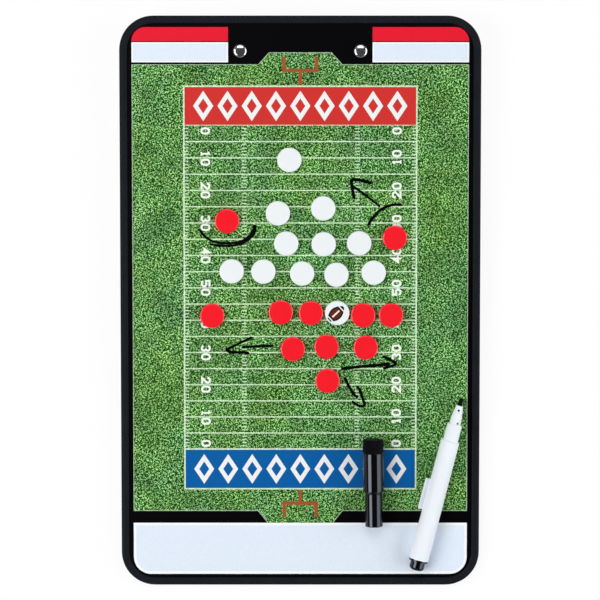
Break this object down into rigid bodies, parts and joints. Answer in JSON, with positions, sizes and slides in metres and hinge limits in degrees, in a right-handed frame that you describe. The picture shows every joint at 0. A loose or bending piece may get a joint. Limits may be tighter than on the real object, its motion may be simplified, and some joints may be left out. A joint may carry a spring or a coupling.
{
  "type": "magnetic tactics board",
  "caption": "Portrait magnetic dry-wipe coaching board with black edging, disc magnets, a marker, its eraser cap and a spring paper clip on the back.",
  "frame": {"origin": "under the middle of the board, level with the lowest point of the clip when the board lies face up", "axes": "+X to the right of the printed face, +Y to its header, +Z out of the printed face"},
  "size_m": [0.2206, 0.3504, 0.0277],
  "materials": {
    "edging": "satin black",
    "printed_face": "printed, gloss dry-wipe",
    "white_backing": "smooth white",
    "rivet_chrome": "polished",
    "clip_steel": "bright nickel plate",
    "spring_steel": "drawn wire",
    "marker_white": "gloss",
    "marker_black": "gloss",
    "nib_fibre": "ink-soaked fibre",
    "ink_fibre": "ink-soaked fibre",
    "eraser_felt": "felt",
    "disc_white": "gloss",
    "disc_red": "gloss",
    "ferrite": "matt"
  },
  "bodies": {
    "board": {"edge_frame": "edging", "front_sheet": "printed_face", "backing_board": "white_backing", "clip_rivets": "rivet_chrome", "clip_base_plate": "clip_steel", "clip_hinge_pin": "clip_steel", "clip_spring": "spring_steel"},
    "lever": {"clip_lever": "clip_steel"},
    "marker": {"marker_barrel": "marker_white", "marker_nib": "nib_fibre", "marker_ink_reservoir": "ink_fibre", "marker_end_plug": "marker_black"},
    "cap": {"marker_cap": "marker_black", "cap_eraser": "eraser_felt"},
    "white_disc_1": {"white_disc_1_cup": "disc_white", "white_disc_1_magnet": "ferrite"},
    "white_disc_2": {"white_disc_2_cup": "disc_white", "white_disc_2_magnet": "ferrite"},
    "white_disc_3": {"white_disc_3_cup": "disc_white", "white_disc_3_magnet": "ferrite"},
    "white_disc_4": {"white_disc_4_cup": "disc_white", "white_disc_4_magnet": "ferrite"},
    "white_disc_5": {"white_disc_5_cup": "disc_white", "white_disc_5_magnet": "ferrite"},
    "white_disc_6": {"white_disc_6_cup": "disc_white", "white_disc_6_magnet": "ferrite"},
    "white_disc_7": {"white_disc_7_cup": "disc_white", "white_disc_7_magnet": "ferrite"},
    "white_disc_8": {"white_disc_8_cup": "disc_white", "white_disc_8_magnet": "ferrite"},
    "white_disc_9": {"white_disc_9_cup": "disc_white", "white_disc_9_magnet": "ferrite"},
    "white_disc_10": {"white_disc_10_cup": "disc_white", "white_disc_10_magnet": "ferrite"},
    "white_disc_11": {"white_disc_11_cup": "disc_white", "white_disc_11_magnet": "ferrite"},
    "red_disc_1": {"red_disc_1_cup": "disc_red", "red_disc_1_magnet": "ferrite"},
    "red_disc_2": {"red_disc_2_cup": "disc_red", "red_disc_2_magnet": "ferrite"},
    "red_disc_3": {"red_disc_3_cup": "disc_red", "red_disc_3_magnet": "ferrite"},
    "red_disc_4": {"red_disc_4_cup": "disc_red", "red_disc_4_magnet": "ferrite"},
    "red_disc_5": {"red_disc_5_cup": "disc_red", "red_disc_5_magnet": "ferrite"},
    "red_disc_6": {"red_disc_6_cup": "disc_red", "red_disc_6_magnet": "ferrite"},
    "red_disc_7": {"red_disc_7_cup": "disc_red", "red_disc_7_magnet": "ferrite"},
    "red_disc_8": {"red_disc_8_cup": "disc_red", "red_disc_8_magnet": "ferrite"},
    "red_disc_9": {"red_disc_9_cup": "disc_red", "red_disc_9_magnet": "ferrite"},
    "red_disc_10": {"red_disc_10_cup": "disc_red", "red_disc_10_magnet": "ferrite"},
    "red_disc_11": {"red_disc_11_cup": "disc_red", "red_disc_11_magnet": "ferrite"},
    "ball_disc": {"ball_disc_cup": "disc_white", "ball_disc_magnet": "ferrite"}
  },
  "joints": [
    {"name": "clip_open", "type": "hinge", "parent": "board", "child": "lever", "pos_m": [0, 0.1507, 0.00664], "axis": [1, 0, 0], "range_deg": [0, 25], "stiffness_Nm_per_rad": 0.4, "springref_deg": -34.38, "deforming": ["clip_spring"]},
    {"name": "marker_lift", "type": "slide", "parent": "board", "child": "marker", "axis": [0, 0, 1], "range_m": [0, 0.08]},
    {"name": "cap_lift", "type": "slide", "parent": "board", "child": "cap", "axis": [0, 0, 1], "range_m": [0, 0.08]},
    {"name": "white_disc_1_lift", "type": "slide", "parent": "board", "child": "white_disc_1", "axis": [0, 0, 1], "range_m": [0, 0.06]},
    {"name": "white_disc_2_lift", "type": "slide", "parent": "board", "child": "white_disc_2", "axis": [0, 0, 1], "range_m": [0, 0.06]},
    {"name": "white_disc_3_lift", "type": "slide", "parent": "board", "child": "white_disc_3", "axis": [0, 0, 1], "range_m": [0, 0.06]},
    {"name": "white_disc_4_lift", "type": "slide", "parent": "board", "child": "white_disc_4", "axis": [0, 0, 1], "range_m": [0, 0.06]},
    {"name": "white_disc_5_lift", "type": "slide", "parent": "board", "child": "white_disc_5", "axis": [0, 0, 1], "range_m": [0, 0.06]},
    {"name": "white_disc_6_lift", "type": "slide", "parent": "board", "child": "white_disc_6", "axis": [0, 0, 1], "range_m": [0, 0.06]},
    {"name": "white_disc_7_lift", "type": "slide", "parent": "board", "child": "white_disc_7", "axis": [0, 0, 1], "range_m": [0, 0.06]},
    {"name": "white_disc_8_lift", "type": "slide", "parent": "board", "child": "white_disc_8", "axis": [0, 0, 1], "range_m": [0, 0.06]},
    {"name": "white_disc_9_lift", "type": "slide", "parent": "board", "child": "white_disc_9", "axis": [0, 0, 1], "range_m": [0, 0.06]},
    {"name": "white_disc_10_lift", "type": "slide", "parent": "board", "child": "white_disc_10", "axis": [0, 0, 1], "range_m": [0, 0.06]},
    {"name": "white_disc_11_lift", "type": "slide", "parent": "board", "child": "white_disc_11", "axis": [0, 0, 1], "range_m": [0, 0.06]},
    {"name": "red_disc_1_lift", "type": "slide", "parent": "board", "child": "red_disc_1", "axis": [0, 0, 1], "range_m": [0, 0.06]},
    {"name": "red_disc_2_lift", "type": "slide", "parent": "board", "child": "red_disc_2", "axis": [0, 0, 1], "range_m": [0, 0.06]},
    {"name": "red_disc_3_lift", "type": "slide", "parent": "board", "child": "red_disc_3", "axis": [0, 0, 1], "range_m": [0, 0.06]},
    {"name": "red_disc_4_lift", "type": "slide", "parent": "board", "child": "red_disc_4", "axis": [0, 0, 1], "range_m": [0, 0.06]},
    {"name": "red_disc_5_lift", "type": "slide", "parent": "board", "child": "red_disc_5", "axis": [0, 0, 1], "range_m": [0, 0.06]},
    {"name": "red_disc_6_lift", "type": "slide", "parent": "board", "child": "red_disc_6", "axis": [0, 0, 1], "range_m": [0, 0.06]},
    {"name": "red_disc_7_lift", "type": "slide", "parent": "board", "child": "red_disc_7", "axis": [0, 0, 1], "range_m": [0, 0.06]},
    {"name": "red_disc_8_lift", "type": "slide", "parent": "board", "child": "red_disc_8", "axis": [0, 0, 1], "range_m": [0, 0.06]},
    {"name": "red_disc_9_lift", "type": "slide", "parent": "board", "child": "red_disc_9", "axis": [0, 0, 1], "range_m": [0, 0.06]},
    {"name": "red_disc_10_lift", "type": "slide", "parent": "board", "child": "red_disc_10", "axis": [0, 0, 1], "range_m": [0, 0.06]},
    {"name": "red_disc_11_lift", "type": "slide", "parent": "board", "child": "red_disc_11", "axis": [0, 0, 1], "range_m": [0, 0.06]},
    {"name": "ball_disc_lift", "type": "slide", "parent": "board", "child": "ball_disc", "axis": [0, 0, 1], "range_m": [0, 0.06]}
  ]
}
